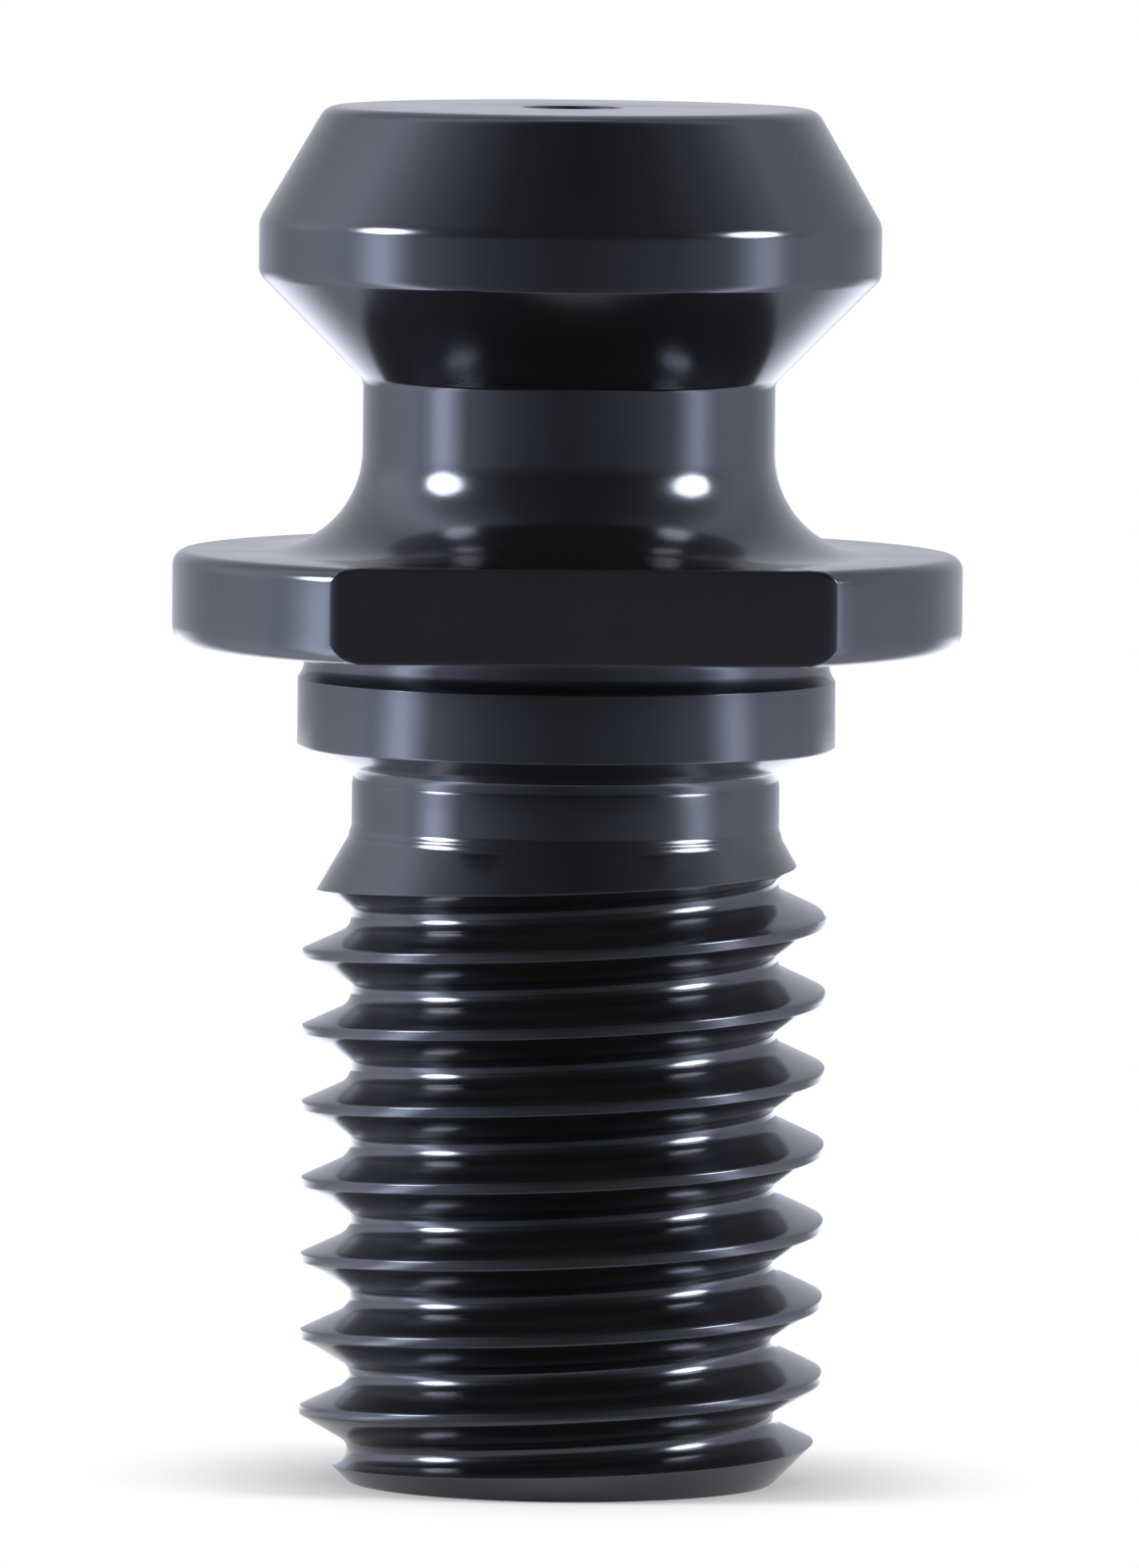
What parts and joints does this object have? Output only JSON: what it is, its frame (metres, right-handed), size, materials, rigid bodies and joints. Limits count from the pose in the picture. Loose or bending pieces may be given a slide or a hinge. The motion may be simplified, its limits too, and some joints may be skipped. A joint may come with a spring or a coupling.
{
  "type": "pull stud",
  "caption": "Threaded pull stud with a locating pilot, a flange with wrench flats, a necked shank and a conical head for a drawbar gripper.",
  "frame": {"origin": "centre of the threaded end face, which is the bottom of the part", "axes": "+Z along the stud's axis from the thread towards the gripped head; the wrench flats face +Y and -Y"},
  "size_m": [0.0238, 0.0188, 0.0416],
  "materials": {
    "steel": "gloss black oxide"
  },
  "bodies": {
    "root": {"pull_stud": "steel"}
  },
  "joints": []
}
